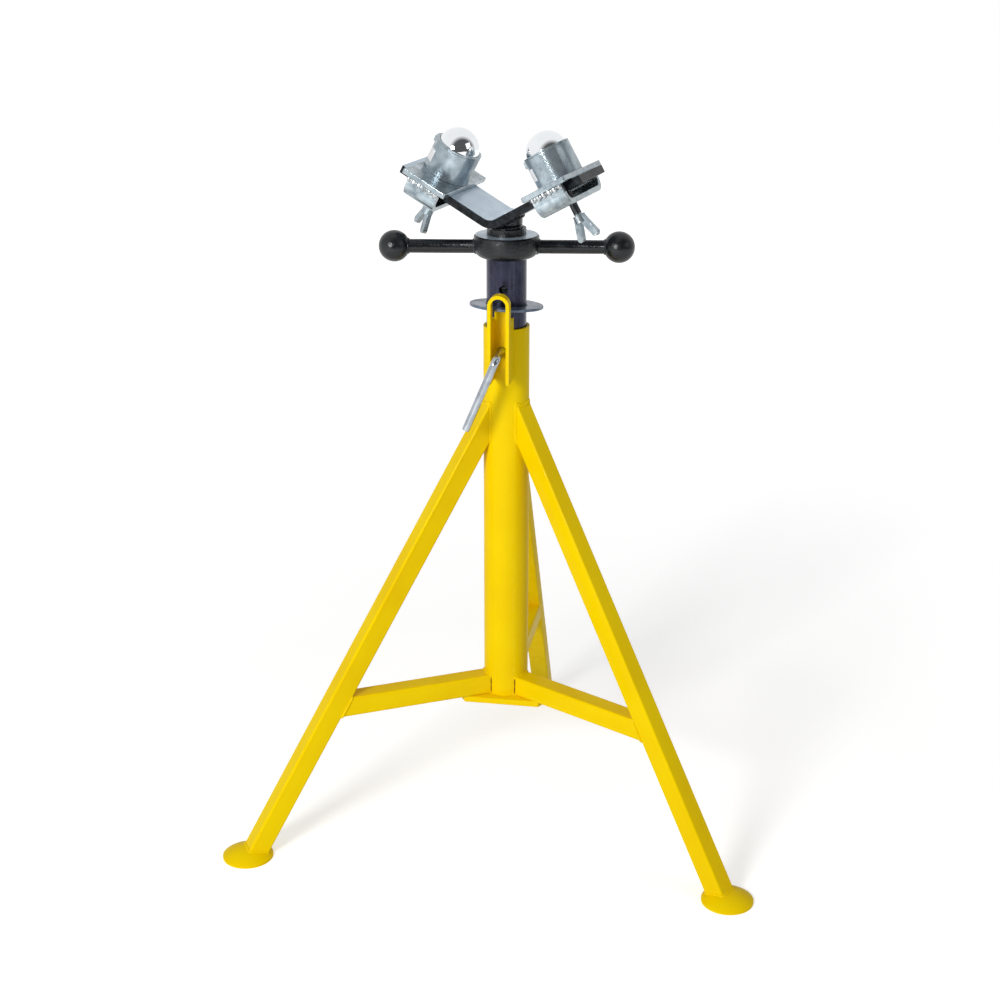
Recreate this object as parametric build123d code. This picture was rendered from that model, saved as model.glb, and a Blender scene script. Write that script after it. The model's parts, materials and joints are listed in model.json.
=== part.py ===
from build123d import *
import os
from math import atan, atan2, cos, degrees, radians, sin, sqrt

# Frame: +Z up, the tube's axis is the Z axis, the floor is z = 0 and the lock pin faces -Y

# Mast and the outer tube that it slides in
mast_od = 48.3
mast_wall = 3.7
mast_bottom = 190.0
mast_above_tube = 88.3
mast_play = 0.75
tube_wall = 3.1
tube_top = 661.7
tube_od = mast_od + 2 * (mast_play + tube_wall)
mast_top = tube_top + mast_above_tube

# Row of pin holes, the pin and its guard, at heights measured from the tube's top
pin_od = 9.5
pin_play = 0.8
pin_below_top = 24.2
pin_z = tube_top - pin_below_top
hole_pitch = 72.0
holes_above_pin = 1
holes_below_pin = 5
pin_tip_gap = 1.35
pin_bend_radius = 9.0
pin_handle_out = 44.0
pin_handle_length = 96.0
pin_handle_lean = 22.8
guard_width = 26.0
guard_strap = 4.0
guard_below_top = 58.7
guard_above_top = 49.3
guard_out = 32.0
guard_loop_out = 18.5
guard_notch_above = 15.3
guard_web = 4.0
guard_web_above = 24.3
guard_bottom = tube_top - guard_below_top
guard_top = tube_top + guard_above_top
guard_front = tube_od / 2 + guard_out
guard_loop_back = tube_od / 2 + guard_loop_out
guard_notch_z = tube_top + guard_notch_above
guard_web_top = tube_top + guard_web_above
pin_tip_radius = mast_od / 2 + pin_tip_gap
pin_handle_radius = tube_od / 2 + pin_handle_out

# Loose guard ring
ring_width = 19.5
ring_play = 0.85
ring_bore = mast_od + 2 * ring_play
ring_od = ring_bore + 2 * ring_width
ring_thick = 3.2
ring_sink = 0.1
ring_z = guard_web_top - ring_sink
ring_tilt_front = 5.0
ring_tilt_side = 2.0

# Legs, braces, base plate and feet
leg_angles = {"right": -30.0, "left": 210.0, "rear": 90.0}
leg_side = 25.4
leg_wall = 2.1
leg_corner = 2.5
leg_floor_radius = 342.6
leg_meet_z = 588.9634
brace_z = 191.5
plate_thick = 8.0
plate_corner_radius = 60.0
plate_corner_width = 17.0
foot_out = 6.4
foot_od = 63.5
foot_rim = 2.6
foot_height = 13.0
foot_floor = 4.0

# Jack nut with its two arms, seated over the mast's top
nut_skirt = 5.0
nut_recess_play = 0.5
nut_edge = 2.0
nut_height = 27.0
nut_boss_height = 8.0
nut_base_wall = 2.85
nut_bowl = 11.5
nut_boss_wall = 4.15
nut_arm_rise = 12.0
nut_arm_od = 16.5
nut_ball_od = 37.5
nut_ball_radius = 133.4
nut_arm_turn = 8.0
nut_bottom = mast_top - nut_skirt
nut_top = nut_bottom + nut_height
nut_boss_top = nut_top + nut_boss_height
nut_arm_z = nut_bottom + nut_arm_rise
nut_base_od = mast_od + 2 * (nut_recess_play + nut_base_wall)
nut_od = nut_base_od + 2 * nut_bowl

# Jack screw and the V saddle on it
screw_gap = 1.4
screw_in_mast = 85.0
thread_play = 0.3
saddle_rise = 43.0
screw_od = mast_od - 2 * (mast_wall + screw_gap)
screw_bottom = mast_top - screw_in_mast
nut_boss_od = screw_od + 2 * (thread_play + nut_boss_wall)
saddle_vertex_z = mast_top + saddle_rise
saddle_turn = -12.6
saddle_slopes = {"right": 29.6, "left": 28.2}
saddle_shift = -5.5
saddle_width = 79.0
saddle_thick = 10.0
saddle_arm = 125.0
saddle_bend = 14.0

# Clamps on the saddle's arms, each with its ball unit and wing screw
clamp_places = {"right": 87.0, "left": 85.0}
clamp_length = 42.0
clamp_wall = 6.4
clamp_side_gap = 11.1
clamp_width = saddle_width + 2 * (clamp_side_gap + clamp_wall)
clamp_depth = 26.0
clamp_corner = 15.0
slide_play = 0.03
top_plate_length = 59.0
top_plate_over = 5.0
top_plate_width = clamp_width + 2 * top_plate_over
top_plate_thick = 6.4
top_plate_corner = 2.0
housing_height = 35.5
housing_gap = 0.8
housing_wall = 2.4
housing_floor = 2.0
lug_width = 11.0
lug_proud = 2.4
lug_height = 8.0
ball_od = 50.8
housing_od = ball_od + 2 * (housing_gap + housing_wall)
ball_height = 39.5
ball_play = 0.3
support_od = 2.4
support_play = 0.1
support_count = 3
support_lean = 35.0
cup_rim_drop = 12.7
retainer_thick = 2.0
unit_turns = {"right": 180.0, "left": 0.0}
wing_screw_od = 9.5
wing_play = 0.3
wing_shank = 30.0
wing_hub_od = 15.0
wing_hub_height = 9.0
wing_root = 3.5
wing_spread = 12.5
wing_drop = 17.0
wing_width = 9.0
wing_thick = 5.5
wing_turns = {"right": -21.0, "left": 136.0}

# Worked out from the sizes above
leg_spread = leg_floor_radius / leg_meet_z
foot_radius = leg_floor_radius + foot_out
leg_lean = degrees(atan(leg_spread))
pin_hole_od = pin_od + pin_play
tube_bore = tube_od - 2 * tube_wall
plate_top = brace_z - leg_side / 2
reach = 1000.0
cut_over = 1.0


def tube(outer, bore, bottom, top):
    """Upright tube about the Z axis."""
    height = top - bottom
    ring = Cylinder(outer / 2, height) - Cylinder(bore / 2, height)
    return Pos(0, 0, (bottom + top) / 2) * ring


def disc(radius, bottom, top):
    """Upright disc between two heights."""
    return Pos(0, 0, (bottom + top) / 2) * Cylinder(radius, top - bottom)


def cross_rod(diameter, z):
    """Rod along Y through the axis, used to drill pin holes."""
    return Pos(0, 0, z) * Rot(90, 0, 0) * Cylinder(diameter / 2, 2 * tube_od)


def save(shape, name):
    export_step(shape, os.path.join("parts", name + ".step"))
    print(name, round(shape.volume), "mm3")


def outer_tube():
    body = tube(tube_od, tube_bore, plate_top, tube_top)
    return body - cross_rod(pin_hole_od, pin_z)


def mast_tube():
    body = tube(mast_od, mast_od - 2 * mast_wall, mast_bottom, mast_top)
    for step in range(-holes_below_pin, holes_above_pin + 1):
        body -= cross_rod(pin_hole_od, pin_z + step * hole_pitch)
    return body


def leg_prism(side, corner):
    """Square bar along a leg's axis, in the X-Z plane, from below the floor to the tube's axis."""
    start = (leg_floor_radius, 0, 0)
    up = (-sin(radians(leg_lean)), 0, cos(radians(leg_lean)))
    run = leg_floor_radius / sin(radians(leg_lean))
    frame = Plane(origin=start, x_dir=(0, 1, 0), z_dir=up)
    section = RectangleRounded(side, side, corner)
    extra = 2 * leg_side
    return extrude(frame.offset(-extra) * section, run + extra)


def leg():
    bar = leg_prism(leg_side, leg_corner)
    bar -= leg_prism(leg_side - 2 * leg_wall, leg_corner - leg_wall / 2)
    bar -= Pos(0, 0, plate_top) * Cylinder(tube_od / 2, reach)
    return bar - Pos(leg_floor_radius, 0, foot_floor - reach / 2) * Box(reach, reach, reach)


def brace():
    """Square tube from the outer tube to the inner face of its leg."""
    length = leg_floor_radius - leg_spread * brace_z
    bar = Plane.YZ * RectangleRounded(leg_side, leg_side, leg_corner)
    inner = leg_side - 2 * leg_wall
    bore = Plane.YZ * RectangleRounded(inner, inner, leg_corner - leg_wall / 2)
    body = Pos(0, 0, brace_z) * (extrude(bar, length) - extrude(bore, length))
    body -= Pos(0, 0, brace_z) * Cylinder(tube_od / 2, 2 * leg_side)
    blocker = Box(reach, 4 * leg_side, reach)
    face = Pos(leg_floor_radius, 0, 0) * Rot(0, -leg_lean, 0)
    return body - face * Pos(reach / 2 - leg_side / 2, 0, 0) * blocker


def foot():
    """Domed pad with the leg's end let into its top."""
    half = foot_od / 2
    rise = foot_height - foot_rim
    dome_radius = (half**2 + rise**2) / (2 * rise)
    outline = Plane.XZ * make_face(
        [
            Line((0, 0), (half, 0)),
            Line((half, 0), (half, foot_rim)),
            RadiusArc((half, foot_rim), (0, foot_height), -dome_radius),
            Line((0, foot_height), (0, 0)),
        ]
    )
    pad = Pos(foot_radius, 0, 0) * revolve(outline, Axis.Z)
    pocket = leg_prism(leg_side, leg_corner)
    pocket -= Pos(leg_floor_radius, 0, foot_floor - reach / 2) * Box(reach, reach, reach)
    return pad - pocket


def base_plate():
    """Three-cornered plate under the outer tube, with its corners cut off under the braces."""
    corners = []
    for angle in sorted(leg_angles.values()):
        for side in (-0.5, 0.5):
            spot = Vector(plate_corner_radius, side * plate_corner_width, 0)
            corners.append(spot.rotate(Axis.Z, angle))
    outline = make_face(Polyline(*corners, close=True))
    return Pos(0, 0, plate_top - plate_thick) * extrude(outline, plate_thick)


def arch(width, bottom, top, depth):
    """Upright slab with a round top, standing on bottom, from the axis out to -depth in Y."""
    straight = top - width / 2 - bottom
    slab = Pos(0, -depth / 2, bottom + straight / 2) * Box(width, depth, straight)
    crown = Pos(0, -depth / 2, bottom + straight) * Rot(90, 0, 0) * Cylinder(width / 2, depth)
    return slab + crown


def pin_guard():
    """Strap bent into a narrow loop round the pin, with a web that stands against the tube."""
    gap = guard_width - 2 * guard_strap
    strap = arch(guard_width, guard_bottom, guard_top, guard_front)
    strap -= arch(gap, guard_bottom - cut_over, guard_top - guard_strap, guard_front + cut_over)
    notch_height = guard_top - guard_notch_z + cut_over
    strap -= Pos(0, -guard_loop_back / 2, guard_notch_z + notch_height / 2) * Box(
        2 * guard_width, guard_loop_back, notch_height
    )
    web_front = tube_od / 2 + guard_web
    web_height = guard_web_top - guard_bottom
    web = Pos(0, -web_front / 2, guard_bottom + web_height / 2) * Box(gap, web_front, web_height)
    body = strap + web
    body -= Pos(0, 0, pin_z) * Cylinder(tube_od / 2, reach / 2)
    return body - cross_rod(pin_hole_od, pin_z)


def lock_pin():
    """Bent rod: a straight pin along Y and a handle that hangs down to one side."""
    lean = radians(pin_handle_lean)
    bend = (0, -pin_handle_radius, pin_z)
    low_x = -pin_handle_length * sin(lean)
    low_z = pin_z - pin_handle_length * cos(lean)
    points = [(0, -pin_tip_radius, pin_z), bend, (low_x, -pin_handle_radius, low_z)]
    path = FilletPolyline(*points, radius=pin_bend_radius)
    section = Plane(origin=points[0], z_dir=(0, -1, 0)) * Circle(pin_od / 2)
    return sweep(section, path=path)


def guard_ring():
    tilt = Rot(-ring_tilt_front, ring_tilt_side, 0)
    ring = Cylinder(ring_od / 2, ring_thick) - Cylinder(ring_bore / 2, ring_thick)
    return Pos(0, 0, ring_z) * tilt * ring


def nut_handle():
    """Round bar along X with a ball at each end, turned in one piece."""
    bar = nut_arm_od / 2
    ball = nut_ball_od / 2
    neck = nut_ball_radius - sqrt(ball**2 - bar**2)
    end = nut_ball_radius + ball
    outline = make_face(
        [
            Line((-end, 0), (end, 0)),
            ThreePointArc((end, 0), (nut_ball_radius, ball), (neck, bar)),
            Line((neck, bar), (-neck, bar)),
            ThreePointArc((-neck, bar), (-nut_ball_radius, ball), (-end, 0)),
        ]
    )
    return revolve(outline, Axis.X)


def jack_nut():
    """One casting: bowl-shaped hub with a boss, two arms and a ball on the end of each."""
    base = nut_base_od / 2
    half = nut_od / 2
    boss = nut_boss_od / 2
    bowl = half - base
    outline = make_face(
        [
            Line((0, nut_bottom), (base, nut_bottom)),
            CenterArc((base, nut_bottom + bowl), bowl, 270, 90),
            Line((half, nut_bottom + bowl), (half, nut_top - nut_edge)),
            Line((half, nut_top - nut_edge), (half - nut_edge, nut_top)),
            Line((half - nut_edge, nut_top), (boss, nut_top)),
            Line((boss, nut_top), (boss, nut_boss_top)),
            Line((boss, nut_boss_top), (0, nut_boss_top)),
            Line((0, nut_boss_top), (0, nut_bottom)),
        ]
    )
    body = revolve(Plane.XZ * outline, Axis.Z)
    body += Pos(0, 0, nut_arm_z) * Rot(0, 0, nut_arm_turn) * nut_handle()
    body -= disc(screw_od / 2 + thread_play, nut_bottom, nut_boss_top + cut_over)
    return body - disc(mast_od / 2 + nut_recess_play, nut_bottom - cut_over, mast_top)


def arm_down(side):
    """Unit direction square to one arm and away from its upper face, in the X-Z plane."""
    slope = radians(saddle_slopes[side])
    hand = 1 if side == "right" else -1
    return Vector(hand * sin(slope), -cos(slope))


def arm_tip(side):
    slope = radians(saddle_slopes[side])
    hand = 1 if side == "right" else -1
    return Vector(hand * saddle_arm * cos(slope), saddle_vertex_z + saddle_arm * sin(slope))


def cross_edges(bar):
    """Edges across the bar, the upper fold first and the lower fold second."""
    return sorted(bar.edges().filter_by(Axis.Y), key=lambda edge: abs(edge.center().X))


def v_bar():
    """Flat bar folded to a V across X, with both folds rounded."""
    right_down = arm_down("right") * saddle_thick
    left_down = arm_down("left") * saddle_thick
    vertex = Vector(0, saddle_vertex_z)
    meet = arm_down("right") + arm_down("left")
    low_vertex = vertex + meet * (saddle_thick / (1 + arm_down("right").dot(arm_down("left"))))
    right_tip = arm_tip("right")
    right_low = right_tip + right_down
    left_tip = arm_tip("left")
    left_low = left_tip + left_down
    points = [vertex, right_tip, right_low, low_vertex, left_low, left_tip]
    outline = Plane.XZ * make_face(Polyline(*points, close=True))
    bar = extrude(outline, saddle_width / 2, both=True)
    bar = fillet(cross_edges(bar)[1], saddle_bend + saddle_thick)
    return fillet(cross_edges(bar)[0], saddle_bend)


def head_place():
    return Rot(0, 0, saddle_turn) * Pos(saddle_shift, 0, 0)


def v_saddle():
    return head_place() * v_bar()


def jack_screw():
    """Screw whose top is cut to the underside of the saddle."""
    top = saddle_vertex_z + screw_od / 2
    body = Pos(0, 0, (screw_bottom + top) / 2) * Cylinder(screw_od / 2, top - screw_bottom)
    body -= v_saddle()
    return min(body.solids(), key=lambda s: s.center().Z)


def arm_frame(side):
    """Clamp's place on an arm's upper face, X up along the arm, Z square to it."""
    flip = Rot(0, 0, 180 if side == "left" else 0)
    tilt = Rot(0, -saddle_slopes[side], 0)
    vertex = Pos(0, 0, saddle_vertex_z)
    return head_place() * vertex * flip * tilt * Pos(clamp_places[side], 0, slide_play)


def clamp_channel():
    """U-shaped strap under the arm, open at both ends."""
    outer = RectangleRounded(clamp_width, 2 * clamp_depth, clamp_corner)
    inner_width = clamp_width - 2 * clamp_wall
    inner_depth = clamp_depth - clamp_wall
    inner = RectangleRounded(inner_width, 2 * inner_depth, clamp_corner - clamp_wall)
    strap = extrude(Plane.YZ * (outer - inner), clamp_length / 2, both=True)
    strap -= Pos(0, 0, clamp_depth) * Box(reach, reach, 2 * clamp_depth)
    return strap - Cylinder(wing_screw_od / 2 + wing_play, 4 * clamp_depth)


def top_plate():
    plate = Box(top_plate_length, top_plate_width, top_plate_thick)
    return Pos(0, 0, top_plate_thick / 2) * fillet(plate.edges().filter_by(Axis.Z), top_plate_corner)


def ball_housing():
    """Round cup with a small lug beside its rim."""
    half = housing_od / 2
    bottom = top_plate_thick
    top = bottom + housing_height
    lug_reach = half + lug_proud
    lug = Pos(lug_reach / 2, 0, top - lug_height / 2) * Box(lug_reach, lug_width, lug_height)
    cup = disc(half, bottom, top) + lug
    return cup - disc(half - housing_wall, bottom + housing_floor, top + cut_over)


def bowl_radius():
    return ball_od / 2 + ball_play + support_od + support_play


def bearing_cup():
    bottom = top_plate_thick + housing_floor
    top = ball_height - cup_rim_drop
    cup = disc(housing_od / 2 - housing_wall, bottom, top)
    return cup - Pos(0, 0, ball_height) * Sphere(bowl_radius())


def support_balls():
    """One small ball under the middle and a ring of them round it."""
    distance = ball_od / 2 + ball_play + support_od / 2
    centre = Pos(0, 0, ball_height)
    balls = [centre * Pos(0, 0, -distance) * Sphere(support_od / 2)]
    for step in range(support_count):
        turn = Rot(0, 0, 360 / support_count * step) * Rot(0, support_lean, 0)
        balls.append(centre * turn * Pos(0, 0, -distance) * Sphere(support_od / 2))
    return Compound(children=balls)


def retaining_ring():
    """Flat ring on the housing's rim, close round the ball."""
    bottom = top_plate_thick + housing_height
    ring = disc(housing_od / 2, bottom, bottom + retainer_thick)
    return ring - Pos(0, 0, ball_height) * Sphere(ball_od / 2 + ball_play)


def transfer_ball():
    return Pos(0, 0, ball_height) * Sphere(ball_od / 2)


def wing_screw():
    """Screw up through the channel to the arm, with a hub and two round-ended wings."""
    tip = -saddle_thick - 2 * slide_play
    hub_top = tip - wing_shank
    hub_bottom = hub_top - wing_hub_height
    body = disc(wing_screw_od / 2, hub_top, tip) + disc(wing_hub_od / 2, hub_bottom, hub_top)
    for side in (-1, 1):
        root = Vector(side * wing_root, hub_bottom + wing_hub_height / 2)
        end = Vector(side * wing_spread, hub_bottom - wing_drop)
        run = end - root
        lean = degrees(atan2(run.Y, run.X))
        slot = Rot(0, 0, lean) * SlotCenterToCenter(run.length, wing_width)
        outline = Plane.XZ * Pos((root + end) / 2) * slot
        body += extrude(outline, wing_thick / 2, both=True)
    return body


def build():
    os.makedirs("parts", exist_ok=True)
    save(outer_tube(), "outer_tube")
    save(base_plate(), "base_plate")
    for name, angle in leg_angles.items():
        save(Rot(0, 0, angle) * leg(), "leg_" + name)
        save(Rot(0, 0, angle) * brace(), "brace_" + name)
        save(Rot(0, 0, angle) * foot(), "foot_" + name)
    save(pin_guard(), "pin_guard")
    save(guard_ring(), "guard_ring")
    save(lock_pin(), "lock_pin")
    save(mast_tube(), "mast_tube")
    save(jack_nut(), "jack_nut")
    save(jack_screw(), "jack_screw")
    save(v_saddle(), "v_saddle")
    for side in clamp_places:
        place = arm_frame(side)
        unit = place * Rot(0, 0, unit_turns[side])
        save(place * clamp_channel(), "clamp_channel_" + side)
        save(place * top_plate(), "clamp_plate_" + side)
        save(unit * ball_housing(), "ball_housing_" + side)
        save(unit * bearing_cup(), "bearing_cup_" + side)
        save(unit * support_balls(), "support_balls_" + side)
        save(unit * retaining_ring(), "retaining_ring_" + side)
        save(unit * transfer_ball(), "transfer_ball_" + side)
        save(place * Rot(0, 0, wing_turns[side]) * wing_screw(), "wing_screw_" + side)


build()
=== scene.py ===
import json
import math
import random

import bmesh
import bpy
from mathutils import Matrix, Vector


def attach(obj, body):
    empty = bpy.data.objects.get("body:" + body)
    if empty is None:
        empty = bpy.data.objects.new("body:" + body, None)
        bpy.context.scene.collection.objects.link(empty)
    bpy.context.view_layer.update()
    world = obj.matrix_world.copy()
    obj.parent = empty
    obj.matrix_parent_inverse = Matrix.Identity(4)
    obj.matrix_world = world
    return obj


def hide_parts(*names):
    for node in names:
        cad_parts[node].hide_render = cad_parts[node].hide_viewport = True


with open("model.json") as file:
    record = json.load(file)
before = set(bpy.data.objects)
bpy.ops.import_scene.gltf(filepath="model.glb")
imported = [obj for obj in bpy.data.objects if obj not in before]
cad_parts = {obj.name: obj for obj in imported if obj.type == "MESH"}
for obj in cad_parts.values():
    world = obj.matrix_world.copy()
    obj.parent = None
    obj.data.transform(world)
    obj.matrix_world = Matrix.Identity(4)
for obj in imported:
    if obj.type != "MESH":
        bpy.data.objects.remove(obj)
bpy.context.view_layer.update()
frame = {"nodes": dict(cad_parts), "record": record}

nodes = frame["nodes"]
record = frame["record"]
bodies = record["behaviour"]["bodies"]
joints = {joint["name"]: joint for joint in record["behaviour"]["joints"]}
bodyOf = {node: body for body, members in bodies.items() for node in members}
slotOf = {part["node"]: part["material_slot"] for part in record["subparts"]}
sides = ("left", "right")
legNames = ("left", "right", "rear")
print("frame loaded")


# camera at the photograph's viewing angle

view = {
    "place": (0.3423, -2.0297, 1.1923),
    "pitch": 69.84,  # degrees
    "heading": 9.79,
    "lens": 63.2,  # mm on a 36 mm sensor
    "sensor": 36.0,
}


def placeCamera():
    data = bpy.data.cameras.new("camera")
    data.lens = view["lens"]
    data.sensor_width = view["sensor"]
    camera = bpy.data.objects.new("camera", data)
    camera.location = view["place"]
    camera.rotation_euler = (math.radians(view["pitch"]), 0, math.radians(view["heading"]))
    bpy.context.scene.collection.objects.link(camera)
    bpy.context.scene.camera = camera


# soft key light from the left front, a weak fill from the right, a white surround

light = {
    "world": 0.34,
    "lamps": {
        "key": {"place": (-1.15, -3.05, 1.65), "power": 82.0, "size": 0.9},
        "fill": {"place": (2.6, -0.9, 1.8), "power": 8.0, "size": 1.4},
    },
    "aim": (0.0, 0.0, 0.45),
    "dimSide": (0.60, -0.80, 0.05),  # the unlit end of the studio, seen only in shiny surfaces
    "dimEdge": (0.25, 0.60),
    "dimLevel": 0.10,
}


def addLamp(name, settings):
    data = bpy.data.lights.new(name, "AREA")
    data.energy = settings["power"]
    data.size = settings["size"]
    lamp = bpy.data.objects.new(name, data)
    lamp.location = settings["place"]
    aim = Vector(light["aim"]) - Vector(settings["place"])
    lamp.rotation_euler = aim.to_track_quat("-Z", "Y").to_euler()
    bpy.context.scene.collection.objects.link(lamp)


def addNode(tree, kind, **settings):
    node = tree.nodes.new(kind)
    for name, value in settings.items():
        setattr(node, name, value)
    return node


def spread(tree, value, lowIn, highIn, lowOut=0.0, highOut=1.0):
    ramp = addNode(tree, "ShaderNodeMapRange")
    tree.links.new(value, ramp.inputs["Value"])
    limits = {"From Min": lowIn, "From Max": highIn, "To Min": lowOut, "To Max": highOut}
    for name, number in limits.items():
        ramp.inputs[name].default_value = number
    return ramp.outputs[0]


def blendColour(tree, amount, low, high):
    mix = addNode(tree, "ShaderNodeMix", data_type="RGBA")
    tree.links.new(amount, mix.inputs[0])
    for socket, value in ((mix.inputs[6], low), (mix.inputs[7], high)):
        if isinstance(value, bpy.types.NodeSocket):
            tree.links.new(value, socket)
        else:
            socket.default_value = (*value, 1)
    return mix.outputs[2]


def product(tree, first, second):
    times = addNode(tree, "ShaderNodeMath", operation="MULTIPLY")
    tree.links.new(first, times.inputs[0])
    tree.links.new(second, times.inputs[1])
    return times.outputs[0]


def directRay(tree):  # 1 where the camera sees the thing itself, or in metal or glass
    path = addNode(tree, "ShaderNodeLightPath")
    seen = path.outputs["Is Camera Ray"]
    for other in ("Is Glossy Ray", "Is Transmission Ray"):
        larger = addNode(tree, "ShaderNodeMath", operation="MAXIMUM")
        tree.links.new(seen, larger.inputs[0])
        tree.links.new(path.outputs[other], larger.inputs[1])
        seen = larger.outputs[0]
    return seen


def lightWorld():
    world = bpy.data.worlds.new("studio")
    bpy.context.scene.world = world
    world.use_nodes = True
    tree = world.node_tree
    tree.nodes.clear()
    place = addNode(tree, "ShaderNodeTexCoord")
    along = addNode(tree, "ShaderNodeVectorMath", operation="DOT_PRODUCT")
    along.inputs[1].default_value = light["dimSide"]
    tree.links.new(place.outputs["Generated"], along.inputs[0])
    dim = spread(tree, along.outputs["Value"], *light["dimEdge"])
    path = addNode(tree, "ShaderNodeLightPath")
    mirrored = product(tree, dim, path.outputs["Is Glossy Ray"])
    colour = blendColour(tree, mirrored, (1, 1, 1), (light["dimLevel"],) * 3)
    strength = spread(tree, directRay(tree), 0, 1, light["world"], 1.0)
    background = addNode(tree, "ShaderNodeBackground")
    sink = addNode(tree, "ShaderNodeOutputWorld")
    tree.links.new(colour, background.inputs["Color"])
    tree.links.new(strength, background.inputs["Strength"])
    tree.links.new(background.outputs[0], sink.inputs[0])


bpy.context.scene.view_settings.view_transform = "Standard"
placeCamera()
lightWorld()
for lampName, lampSettings in light["lamps"].items():
    addLamp(lampName, lampSettings)
print("camera and light placed")


# shader node groups that several finishes share

surface = {
    "patchEdge": (0.35, 0.68),  # noise levels between which the second tone comes in
    "wearEdge": (0.53, 0.62),  # pointiness, which is 0.5 on a flat face
    "wearGlintBreaks": (0.42, 0.60),
    "grainDepth": 0.0006,  # metres
    "coatRough": 0.08,
}


def newGroup(name, inputs, outputs):
    group = bpy.data.node_groups.new(name, "ShaderNodeTree")
    for title, kind, value in inputs:
        group.interface.new_socket(title, in_out="INPUT", socket_type=kind).default_value = value
    for title, kind in outputs:
        group.interface.new_socket(title, in_out="OUTPUT", socket_type=kind)
    return group, addNode(group, "NodeGroupInput"), addNode(group, "NodeGroupOutput")


def noiseOn(tree, scale, detail, stretch=(1, 1, 1)):
    place = addNode(tree, "ShaderNodeTexCoord")
    mapping = addNode(tree, "ShaderNodeMapping")
    mapping.inputs["Scale"].default_value = stretch
    noise = addNode(tree, "ShaderNodeTexNoise")
    noise.inputs["Detail"].default_value = detail
    if isinstance(scale, bpy.types.NodeSocket):
        tree.links.new(scale, noise.inputs["Scale"])
    else:
        noise.inputs["Scale"].default_value = scale
    tree.links.new(place.outputs["Object"], mapping.inputs["Vector"])
    tree.links.new(mapping.outputs[0], noise.inputs["Vector"])
    return noise.outputs["Fac"]


def makeMottle():  # two tones in soft patches, with a fine grain for the bump
    group, source, sink = newGroup(
        "mottle",
        [
            ("Tone A", "NodeSocketColor", (0.5, 0.5, 0.5, 1)),
            ("Tone B", "NodeSocketColor", (0.4, 0.4, 0.4, 1)),
            ("Patch Scale", "NodeSocketFloat", 30.0),
            ("Grain Scale", "NodeSocketFloat", 600.0),
        ],
        [("Colour", "NodeSocketColor"), ("Patch", "NodeSocketFloat"), ("Grain", "NodeSocketFloat")],
    )
    patch = spread(group, noiseOn(group, source.outputs["Patch Scale"], 5.0), *surface["patchEdge"])
    grain = noiseOn(group, source.outputs["Grain Scale"], 3.0)
    colour = blendColour(group, patch, source.outputs["Tone A"], source.outputs["Tone B"])
    group.links.new(colour, sink.inputs["Colour"])
    group.links.new(patch, sink.inputs["Patch"])
    group.links.new(grain, sink.inputs["Grain"])
    return group


# mask of outer edges for painted edge highlights together with edge wear
def makeEdgeWearAndGlint():  # 1 on outer edges, broken up by fine noise
    group, source, sink = newGroup(
        "edgeWearAndGlint",
        [("Amount", "NodeSocketFloat", 0.5), ("Break Scale", "NodeSocketFloat", 180.0)],
        [("Mask", "NodeSocketFloat")],
    )
    shape = addNode(group, "ShaderNodeNewGeometry")
    edge = spread(group, shape.outputs["Pointiness"], *surface["wearEdge"])
    broken = spread(group, noiseOn(group, source.outputs["Break Scale"], 4.0), *surface["wearGlintBreaks"])
    mask = product(group, product(group, edge, broken), source.outputs["Amount"])
    group.links.new(mask, sink.inputs["Mask"])
    return group


mottle = makeMottle()
edgeWearAndGlint = makeEdgeWearAndGlint()
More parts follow.
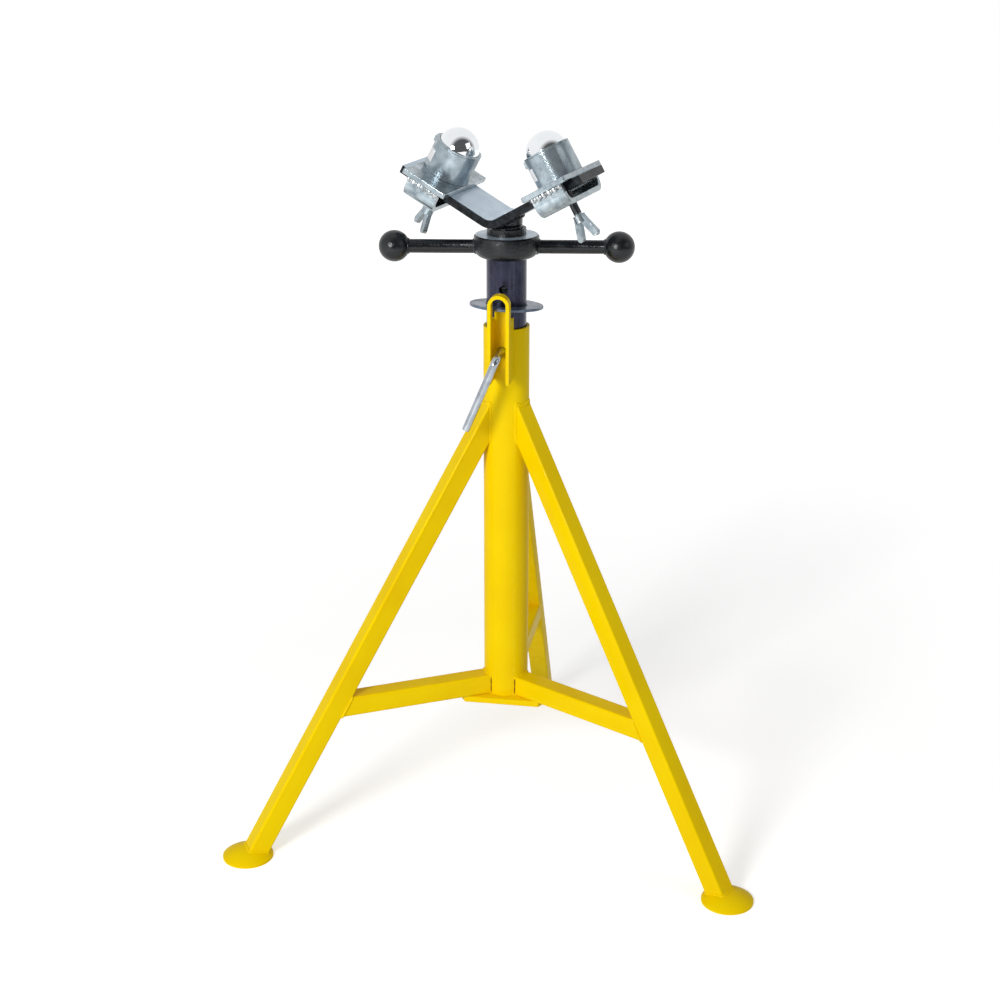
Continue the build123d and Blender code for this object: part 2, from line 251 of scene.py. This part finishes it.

# tones are linear colours, patch and grain are noise scales per metre, gloss is the specular level, edge
# is the colour on outer edges: a painted edge highlight where it is lighter, together with edge wear
finishSettings = {
    "enamel": {
        "tones": ((0.895, 0.640, 0.000), (0.850, 0.575, 0.000)),
        "patch": 11, "grain": 380, "rough": (0.28, 0.4), "metal": 0.0, "gloss": 0.01,
        "bump": 0.12, "wear": 0.25, "edge": (0.950, 0.740, 0.040), "coat": 0.08,
    },
    "drawnSteel": {
        "tones": ((0.034, 0.037, 0.062), (0.015, 0.016, 0.029)),
        "patch": 24, "grain": 520, "rough": (0.2, 0.34), "metal": 0.75, "gloss": 0.15,
        "bump": 0.16, "wear": 0.4, "edge": (0.160, 0.160, 0.210),
        "streak": {  # drawn along the mast
            "scale": 70.0, "detail": 4.0, "stretch": (4, 4, 0.3),
            "limits": (0.45, 0.75), "tone": (0.055, 0.056, 0.085),
        },
    },
    "ringSteel": {
        "tones": ((0.120, 0.165, 0.235), (0.070, 0.100, 0.150)),
        "patch": 60, "grain": 620, "rough": (0.26, 0.4), "metal": 0.5, "gloss": 0.4,
        "bump": 0.15, "wear": 0.8, "edge": (0.600, 0.640, 0.720),
    },
    "castIron": {
        "tones": ((0.003, 0.004, 0.005), (0.009, 0.011, 0.014)),
        "patch": 70, "grain": 330, "rough": (0.2, 0.34), "metal": 0.0, "gloss": 0.38,
        "bump": 0.6, "wear": 0.5, "edge": (0.090, 0.110, 0.130),
    },
    "blackBar": {
        "tones": ((0.003, 0.004, 0.005), (0.006, 0.008, 0.010)),
        "patch": 45, "grain": 420, "rough": (0.22, 0.36), "metal": 0.0, "gloss": 0.14,
        "bump": 0.2, "wear": 0.5, "edge": (0.100, 0.120, 0.150),
    },
    # lighter steel for the upward faces of the saddle and the hub top: a painted reflection
    "paintedSheenSteel": {
        "tones": ((0.600, 0.730, 0.840), (0.470, 0.580, 0.690)),
        "patch": 30, "grain": 420, "rough": (0.24, 0.36), "metal": 0.4, "gloss": 0.5,
        "bump": 0.1, "wear": 0.2, "edge": (0.750, 0.800, 0.860),
    },
    "pinSteel": {
        "tones": ((0.460, 0.500, 0.540), (0.300, 0.330, 0.365)),
        "patch": 90, "grain": 800, "rough": (0.12, 0.22), "metal": 0.9, "gloss": 0.5,
        "bump": 0.05, "wear": 0.6, "edge": (0.700, 0.740, 0.780),
    },
    "screwSteel": {
        "tones": ((0.060, 0.066, 0.074), (0.030, 0.033, 0.038)),
        "patch": 150, "grain": 700, "rough": (0.26, 0.4), "metal": 0.6, "gloss": 0.4,
        "bump": 0.2, "wear": 0.8, "edge": (0.360, 0.400, 0.440),
    },
    "zinc": {
        "tones": ((0.375, 0.450, 0.490), (0.175, 0.218, 0.252)),
        "patch": 60, "grain": 700, "rough": (0.16, 0.28), "metal": 0.7, "gloss": 0.6,
        "bump": 0.18, "wear": 0.9, "edge": (0.940, 0.960, 0.970),
    },
    # bright and dark tones in small patches: painted light and shade standing for the ripples of the
    # clamp welds
    "weldZincPaintedLightShade": {
        "tones": ((0.600, 0.640, 0.660), (0.120, 0.140, 0.155)),
        "patch": 330, "grain": 900, "rough": (0.24, 0.45), "metal": 0.75, "gloss": 0.5,
        "bump": 0.4, "wear": 0.9, "edge": (0.880, 0.910, 0.930),
    },
    "chrome": {
        "tones": ((0.860, 0.880, 0.900), (0.800, 0.825, 0.850)),
        "patch": 40, "grain": 900, "rough": (0.03, 0.09), "metal": 1.0, "gloss": 0.6,
        "bump": 0.01, "wear": 0.2, "edge": (0.920, 0.940, 0.960),
    },
    "paper": {
        "tones": ((0.840, 0.850, 0.860), (0.740, 0.755, 0.770)),
        "patch": 130, "grain": 1500, "rough": (0.5, 0.65), "metal": 0.0, "gloss": 0.3,
        "bump": 0.1, "wear": 0.3, "edge": (0.620, 0.620, 0.600),
    },
    "seamDark": {
        "tones": ((0.200, 0.025, 0.010), (0.090, 0.012, 0.006)),
        "patch": 150, "grain": 800, "rough": (0.7, 0.85), "metal": 0.0, "gloss": 0.1,
        "bump": 0.2, "wear": 0.1, "edge": (0.400, 0.120, 0.020),
    },
}


def makeFinish(name, settings):
    material = bpy.data.materials.new(name)
    material.use_nodes = True
    tree = material.node_tree
    shader = tree.nodes["Principled BSDF"]
    base = addNode(tree, "ShaderNodeGroup", node_tree=mottle)
    for title, tone in zip(("Tone A", "Tone B"), settings["tones"]):
        base.inputs[title].default_value = (*tone, 1)
    base.inputs["Patch Scale"].default_value = settings["patch"]
    base.inputs["Grain Scale"].default_value = settings["grain"]
    wear = addNode(tree, "ShaderNodeGroup", node_tree=edgeWearAndGlint)
    wear.inputs["Amount"].default_value = settings["wear"]
    # outer edges take the edge colour: a painted edge highlight where it is lighter, with edge wear
    colour = blendColour(tree, wear.outputs["Mask"], base.outputs["Colour"], settings["edge"])
    if "streak" in settings:
        streak = settings["streak"]
        noise = noiseOn(tree, streak["scale"], streak["detail"], streak["stretch"])
        colour = blendColour(tree, spread(tree, noise, *streak["limits"]), colour, streak["tone"])
    tree.links.new(colour, shader.inputs["Base Color"])
    rough = spread(tree, base.outputs["Patch"], 0, 1, *settings["rough"])
    tree.links.new(rough, shader.inputs["Roughness"])
    shader.inputs["Metallic"].default_value = settings["metal"]
    shader.inputs["Specular IOR Level"].default_value = settings["gloss"]
    shader.inputs["Coat Weight"].default_value = settings.get("coat", 0.0)
    shader.inputs["Coat Roughness"].default_value = surface["coatRough"]
    bump = addNode(tree, "ShaderNodeBump")
    bump.inputs["Strength"].default_value = settings["bump"]
    bump.inputs["Distance"].default_value = surface["grainDepth"]
    tree.links.new(base.outputs["Grain"], bump.inputs["Height"])
    tree.links.new(bump.outputs["Normal"], shader.inputs["Normal"])
    return material


finishes = {name: makeFinish(name, settings) for name, settings in finishSettings.items()}
finishOfSlot = {
    "yellow_paint": "enamel",
    "dark_steel": "drawnSteel",
    "black_iron": "castIron",
    "zinc_plate": "zinc",
    "chrome_steel": "chrome",
    "hard_steel": "chrome",
}
finishOfNode = {"guard_ring": "ringSteel", "v_saddle": "blackBar", "lock_pin": "pinSteel"}
print("finishes made")


# CAD shapes taken over with their edges eased, widths in metres, 0 where the shape is round all over

edgeWidth = {
    "outer_tube": 0.0005, "base_plate": 0.0010, "pin_guard": 0.0008, "guard_ring": 0.0007,
    "lock_pin": 0.0010, "mast_tube": 0.0004, "jack_nut": 0.0010, "v_saddle": 0.0009,
    "leg": 0.0003, "brace": 0.0003, "foot": 0.0006, "clamp_channel": 0.0008, "clamp_plate": 0.0010,
    "ball_housing": 0.0006, "bearing_cup": 0.0, "retaining_ring": 0.0004, "transfer_ball": 0.0,
    "wing_screw": 0.0011, "support_balls": 0.0,
}
easing = {
    "joined": 0.00002,  # metres between corners that become one
    "flat": 1.0,  # degrees between faces that become one
    "eased": 38.0,  # degrees between faces whose edge is eased
    "segments": 2,
}
shadeAngle = {  # degrees between faces that shade as one
    "shape": 35, "bead": 80, "label": 60, "thread": 30, "neck": 40,
}


def joinedForm(node):  # the node's loose triangles as one joined shape
    form = bmesh.new()
    form.from_mesh(nodes[node].data)
    bmesh.ops.remove_doubles(form, verts=form.verts, dist=easing["joined"])
    return form


def showForm(form, name, node, finish, kind="shape"):  # a finished piece that rides on the node's body
    mesh = bpy.data.meshes.new(name)
    form.to_mesh(mesh)
    form.free()
    mesh.materials.append(finishes[finish])
    mesh.shade_smooth()
    mesh.set_sharp_from_angle(angle=math.radians(shadeAngle[kind]))
    piece = bpy.data.objects.new(name, mesh)
    bpy.context.scene.collection.objects.link(piece)
    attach(piece, bodyOf[node])
    return piece


def addBevel(piece, width):
    bevel = piece.modifiers.new("easedEdges", "BEVEL")
    bevel.width = width
    bevel.segments = easing["segments"]
    bevel.limit_method = "ANGLE"
    bevel.angle_limit = math.radians(easing["eased"])
    bevel.harden_normals = True


def easedCopy(node):
    kind = node
    for side in legNames:
        kind = kind.removesuffix("_" + side)
    form = joinedForm(node)
    flat = math.radians(easing["flat"])
    bmesh.ops.dissolve_limit(form, angle_limit=flat, verts=form.verts, edges=form.edges)
    finish = finishOfNode.get(node, finishOfSlot[slotOf[node]])
    piece = showForm(form, node + "_shown", node, finish)
    if edgeWidth[kind]:
        addBevel(piece, edgeWidth[kind])
    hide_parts(node)
    return piece


shown = {node: easedCopy(node) for node in bodyOf if node != "jack_screw"}
print("CAD shapes eased")


# upper faces of the saddle and the top of the nut's hub given a lighter steel finish: a painted
# reflection of the bright surroundings

paintedSheen = {
    "saddleLean": 0.5,  # least upward part of a face's normal
    "smallest": 1e-7,  # square metres
    "hubLean": 0.95, "hubTop": 0.772, "nearTop": 0.0004,
}


def onSaddleTop(face):
    return face.normal.z > paintedSheen["saddleLean"] and face.area > paintedSheen["smallest"]


def onHubTop(face):
    return face.normal.z > paintedSheen["hubLean"] and abs(face.center.z - paintedSheen["hubTop"]) < paintedSheen["nearTop"]


# gives the chosen faces the lighter steel, a painted reflection of the bright surroundings
def paintSheen(node, belongs):
    mesh = shown[node].data
    mesh.materials.append(finishes["paintedSheenSteel"])
    for face in mesh.polygons:
        if belongs(face):
            face.material_index = 1


paintSheen("v_saddle", onSaddleTop)
paintSheen("jack_nut", onHubTop)
print("rubbed faces marked")


# weld and fillet beads laid on the seams, which are read from the sharp edges of the CAD shapes

sharpAngle = 0.5  # radians between the faces of an edge that counts as a seam


def anywhere(point):
    return True


def lineLength(points):
    return sum((b - a).length for a, b in zip(points, points[1:]))


def runLength(run):
    return lineLength(run[0])


def seamRuns(node, belongs, keep=anywhere):  # runs of points along the seam, longest first
    form = joinedForm(node)
    form.edges.index_update()
    left = {}
    for edge in form.edges:
        if len(edge.link_faces) == 2 and edge.calc_face_angle(0) > sharpAngle:
            middle = (edge.verts[0].co + edge.verts[1].co) / 2
            if all(belongs(vert.co) for vert in edge.verts) and keep(middle):
                left[edge.index] = edge
    runs = []
    while left:
        chain = list(left.pop(next(iter(left))).verts)
        for end in range(2):  # onward from one end, then from the other
            onward = True
            while onward:
                onward = [edge for edge in chain[-1].link_edges if edge.index in left]
                if onward:
                    chain.append(left.pop(onward[0].index).other_vert(chain[-1]))
            chain.reverse()
        closed = chain[0] is chain[-1]
        if closed:
            chain.pop()
        runs.append(([vert.co.copy() for vert in chain], closed))
    form.free()
    return sorted(runs, key=runLength, reverse=True)


def evenPath(points, closed, step):  # the same line with points an even step apart
    line = points + [points[0]] if closed else points
    total = lineLength(line)
    count = max(int(round(total / step)), beadSteps)
    spans = [(b - a).length for a, b in zip(line, line[1:])]
    spots = []
    travelled = 0.0
    index = 0
    for number in range(count if closed else count + 1):
        target = total * number / count
        while index < len(spans) - 1 and travelled + spans[index] < target:
            travelled += spans[index]
            index += 1
        share = min((target - travelled) / spans[index], 1)
        spots.append(line[index].lerp(line[index + 1], share))
    return spots


beads = {
    "paintedWeld": {"radius": 0.0017, "ripple": 0.10, "lobe": 0.0042, "chance": 0.06},
    "footWeld": {"radius": 0.0016, "ripple": 0.10, "lobe": 0.0040, "chance": 0.06},
    "clampWeld": {"radius": 0.0036, "ripple": 0.34, "lobe": 0.0072, "chance": 0.05},
    "saddleWeld": {"radius": 0.0026, "ripple": 0.16, "lobe": 0.0045, "chance": 0.08},
    "castFillet": {"radius": 0.0014, "ripple": 0.0, "lobe": 0.0045, "chance": 0.03},
    "gapLine": {"radius": 0.00075, "ripple": 0.2, "lobe": 0.0100, "chance": 0.20},
}
beadSteps = 4  # points along each lobe, and the fewest on a line
beadRound = 2  # curve steps across a bead
beadJoin = 0.00001  # metres between corners that become one


def layBead(name, kind, run, node, finish):
    points, closed = run
    settings = beads[kind]
    chance = random.Random(name)
    path = evenPath(points, closed, settings["lobe"] / beadSteps)
    curve = bpy.data.curves.new(name, "CURVE")
    curve.dimensions = "3D"
    curve.bevel_depth = settings["radius"]
    curve.bevel_resolution = beadRound
    curve.use_fill_caps = not closed
    spline = curve.splines.new("POLY")
    spline.points.add(len(path) - 1)
    spline.use_cyclic_u = closed
    for number, (point, spot) in enumerate(zip(spline.points, path)):
        wave = math.sin(math.pi * number / beadSteps) ** 2 - 0.5
        point.co = (*spot, 1)
        point.radius = 1 + 2 * settings["ripple"] * wave + chance.uniform(-1, 1) * settings["chance"]
    holder = bpy.data.objects.new(name + "Path", curve)
    mesh = bpy.data.meshes.new_from_object(holder)
    form = bmesh.new()
    form.from_mesh(mesh)
    bmesh.ops.remove_doubles(form, verts=form.verts, dist=beadJoin)
    bmesh.ops.recalc_face_normals(form, faces=form.faces)
    bpy.data.objects.remove(holder)
    bpy.data.curves.remove(curve)
    bpy.data.meshes.remove(mesh)
    showForm(form, name, node, finish, "bead")


seams = {
    "tubeRadius": 0.028, "nearTube": 0.00012,
    "braceHeight": 0.1915, "braceSide": 0.010, "braceEnd": 0.15,
    "footTop": 0.0045, "saddleLow": 0.783,
}


def fromAxis(point):
    return math.hypot(point.x, point.y)


def onTube(point):
    return abs(fromAxis(point) - seams["tubeRadius"]) < seams["nearTube"]


def besideBrace(point):
    return abs(point.z - seams["braceHeight"]) < seams["braceSide"]


def acrossBrace(point):
    return not besideBrace(point)


def atBraceEnd(point):
    return fromAxis(point) > seams["braceEnd"]


def onDome(point):
    return point.z > seams["footTop"]


def underSaddle(point):
    return point.z > seams["saddleLow"]


for leg in legNames:
    legNode = "leg_" + leg
    braceNode = "brace_" + leg
    footNode = "foot_" + leg
    layBead("leg_weld_" + leg, "paintedWeld", seamRuns(legNode, onTube)[0], legNode, "enamel")
    for number, run in enumerate(seamRuns(braceNode, onTube, acrossBrace)[:2]):
        layBead("brace_weld_%s_%d" % (leg, number), "paintedWeld", run, braceNode, "enamel")
    for number, run in enumerate(seamRuns(braceNode, onTube, besideBrace)[:2]):
        layBead("gap_line_%s_%d" % (leg, number), "gapLine", run, braceNode, "seamDark")
    endRun = seamRuns(braceNode, atBraceEnd)[0]
    layBead("brace_end_weld_" + leg, "paintedWeld", endRun, braceNode, "enamel")
    layBead("foot_weld_" + leg, "footWeld", seamRuns(footNode, onDome)[0], footNode, "enamel")

saddleRun = seamRuns("jack_screw", underSaddle)[0]
layBead("saddle_weld", "saddleWeld", saddleRun, "jack_screw", "blackBar")
print("welds laid along the seams")


# place of each clamp on its arm: X up along the arm, Z square to the arm's upper face

clampSize = {"ballRise": 0.03947, "halfStrap": 0.021, "halfWidth": 0.0580, "beadDrop": -0.0020}


def armPlace(side):
    along = Vector(joints["clamp_slide_" + side]["axis"]).normalized()
    across = Vector(joints["ball_roll_" + side]["axis"]).normalized()
    square = along.cross(across)
    centre = Vector(joints["ball_roll_" + side]["pos_m"])
    place = Matrix((along, across, square)).transposed().to_4x4()
    place.translation = centre - square * clampSize["ballRise"]
    return place


def clampWelds(side):
    place = armPlace(side)
    node = "clamp_channel_" + side
    for name, across in (("front", -clampSize["halfWidth"]), ("back", clampSize["halfWidth"])):
        ends = [place @ Vector((along * clampSize["halfStrap"], across, clampSize["beadDrop"]))
                for along in (-1, 1)]
        layBead("clamp_weld_%s_%s" % (side, name), "clampWeld", (ends, False), node, "weldZincPaintedLightShade")


# blank paper label wrapped on the housing's side that is left in the photograph

label = {
    "radius": 0.0287, "low": 0.0160, "high": 0.0310, "thick": 0.00015,
    "half": 22.0, "turn": 8.0,  # degrees
    "steps": 14,
}


def labelOn(side):
    place = armPlace(side)
    toLeft = Matrix.Rotation(math.radians(view["heading"] + label["turn"]), 3, "Z")
    local = place.to_3x3().inverted() @ toLeft @ Vector((-1, 0, 0))
    middle = math.atan2(local.y, local.x)
    form = bmesh.new()
    start = Matrix.Rotation(middle - math.radians(label["half"]), 4, "Z")
    ends = [form.verts.new(start @ Vector((label["radius"], 0, label[end]))) for end in ("low", "high")]
    edge = form.edges.new(ends)
    bmesh.ops.spin(form, geom=[edge] + ends, cent=(0, 0, 0), axis=(0, 0, 1), dvec=(0, 0, 0),
                   angle=math.radians(2 * label["half"]), steps=label["steps"])
    bmesh.ops.recalc_face_normals(form, faces=form.faces)
    bmesh.ops.solidify(form, geom=form.faces[:], thickness=label["thick"])
    bmesh.ops.recalc_face_normals(form, faces=form.faces)
    bmesh.ops.transform(form, matrix=place, verts=form.verts)
    showForm(form, "label_" + side, "ball_housing_" + side, "paper", "label")


for side in sides:
    clampWelds(side)
    labelOn(side)
print("clamp welds and labels made")


# screw threads turned as one helical profile, sizes in metres

jackThread = {
    "root": 0.0168, "crest": 0.01903, "low": 0.665, "high": 0.7852, "pitch": 0.00635, "steps": 36,
}
wingThread = {
    "root": 0.00482, "crest": 0.00495, "low": -0.0385, "high": -0.0104, "pitch": 0.0016, "steps": 20,
}
crestShare = (0.36, 0.60)  # where the crest begins and ends, as shares of the pitch
cutNear = 0.00001  # metres from a cut


def threadForm(thread):
    form = bmesh.new()
    low, high, pitch, steps = (thread[name] for name in ("low", "high", "pitch", "steps"))
    profile = [(thread["root"], 0.0)] + [(thread["crest"], share) for share in crestShare]
    turns = int((high - low) / pitch) + 3
    verts = [form.verts.new((radius, 0, low + (turn - 1 + share) * pitch))
             for turn in range(turns) for radius, share in profile]
    for first, second in zip(verts, verts[1:]):
        form.edges.new((first, second))
    bmesh.ops.spin(form, geom=form.verts[:] + form.edges[:], cent=(0, 0, 0), axis=(0, 0, 1),
                   dvec=(0, 0, pitch / steps), angle=2 * math.pi, steps=steps)  # ends a pitch higher
    bmesh.ops.remove_doubles(form, verts=form.verts, dist=cutNear)
    for height, way in ((low, -1), (high, 1)):
        everything = form.verts[:] + form.edges[:] + form.faces[:]
        bmesh.ops.bisect_plane(form, geom=everything, plane_co=(0, 0, height), plane_no=(0, 0, way),
                               clear_outer=True)
        rim = [edge for edge in form.edges if edge.is_boundary
               and all(abs(vert.co.z - height) < cutNear for vert in edge.verts)]
        bmesh.ops.holes_fill(form, edges=rim, sides=0)
    bmesh.ops.recalc_face_normals(form, faces=form.faces)
    return form


def jackScrew():
    thread = showForm(threadForm(jackThread), "jack_thread", "jack_screw", "castIron", "thread")
    collar = joinedForm("jack_screw")
    everything = collar.verts[:] + collar.edges[:] + collar.faces[:]
    bmesh.ops.bisect_plane(collar, geom=everything, plane_co=(0, 0, jackThread["high"]),
                           plane_no=(0, 0, -1), clear_outer=True)
    rim = [edge for edge in collar.edges if edge.is_boundary]
    bmesh.ops.holes_fill(collar, edges=rim, sides=0)
    neck = showForm(collar, "jack_neck", "jack_screw", "castIron", "neck")
    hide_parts("jack_screw")
    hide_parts("jack_screw")


def wingShank(side):
    form = threadForm(wingThread)
    bmesh.ops.transform(form, matrix=armPlace(side), verts=form.verts)
    showForm(form, "wing_thread_" + side, "wing_screw_" + side, "screwSteel", "thread")


jackScrew()
for side in sides:
    wingShank(side)
print("threads cut")


# fillets of the casting where the arms meet the hub and the balls

nutCast = {
    "hubRadius": 0.039, "hubReach": 0.003, "armHeight": 0.757, "armRadius": 0.00825,
    "armReach": 0.00125, "neckOut": 0.11,
}


def onHubSide(point):
    besideHub = abs(fromAxis(point) - nutCast["hubRadius"]) < nutCast["hubReach"]
    return besideHub and abs(point.z - nutCast["armHeight"]) < nutCast["armRadius"] + nutCast["armReach"]


def onNeck(point):
    return fromAxis(point) > nutCast["neckOut"]


for end, onEnd in (("hub", onHubSide), ("neck", onNeck)):
    for number, run in enumerate(seamRuns("jack_nut", onEnd)[:2]):
        layBead("%s_fillet_%d" % (end, number), "castFillet", run, "jack_nut", "castIron")
print("casting fillets made")


# pale floor that shows white and keeps the object's shadow

floorLook = {
    "size": 6.0, "tones": ((0.86,) * 3, (0.85,) * 3), "patch": 3.0, "rough": 0.9,
    "lift": (0.50, 0.85), "reach": (0.6, 3.0),  # whiter far from the object, where no shadow falls
}


def makeFloorFinish():
    material = bpy.data.materials.new("paleFloor")
    material.use_nodes = True
    tree = material.node_tree
    shader = tree.nodes["Principled BSDF"]
    tone = blendColour(tree, noiseOn(tree, floorLook["patch"], 2.0), *floorLook["tones"])
    tree.links.new(tone, shader.inputs["Base Color"])
    shader.inputs["Roughness"].default_value = floorLook["rough"]
    shader.inputs["Specular IOR Level"].default_value = 0.0
    shader.inputs["Emission Color"].default_value = (1, 1, 1, 1)
    place = addNode(tree, "ShaderNodeTexCoord")
    distance = addNode(tree, "ShaderNodeVectorMath", operation="LENGTH")
    tree.links.new(place.outputs["Object"], distance.inputs[0])
    lift = spread(tree, distance.outputs["Value"], *floorLook["reach"], *floorLook["lift"])
    tree.links.new(product(tree, directRay(tree), lift), shader.inputs["Emission Strength"])
    return material


def layFloor():
    form = bmesh.new()
    bmesh.ops.create_grid(form, x_segments=1, y_segments=1, size=floorLook["size"])
    mesh = bpy.data.meshes.new("floor")
    form.to_mesh(mesh)
    form.free()
    mesh.materials.append(makeFloorFinish())
    floor = bpy.data.objects.new("floor", mesh)
    bpy.context.scene.collection.objects.link(floor)


layFloor()
print("floor laid")
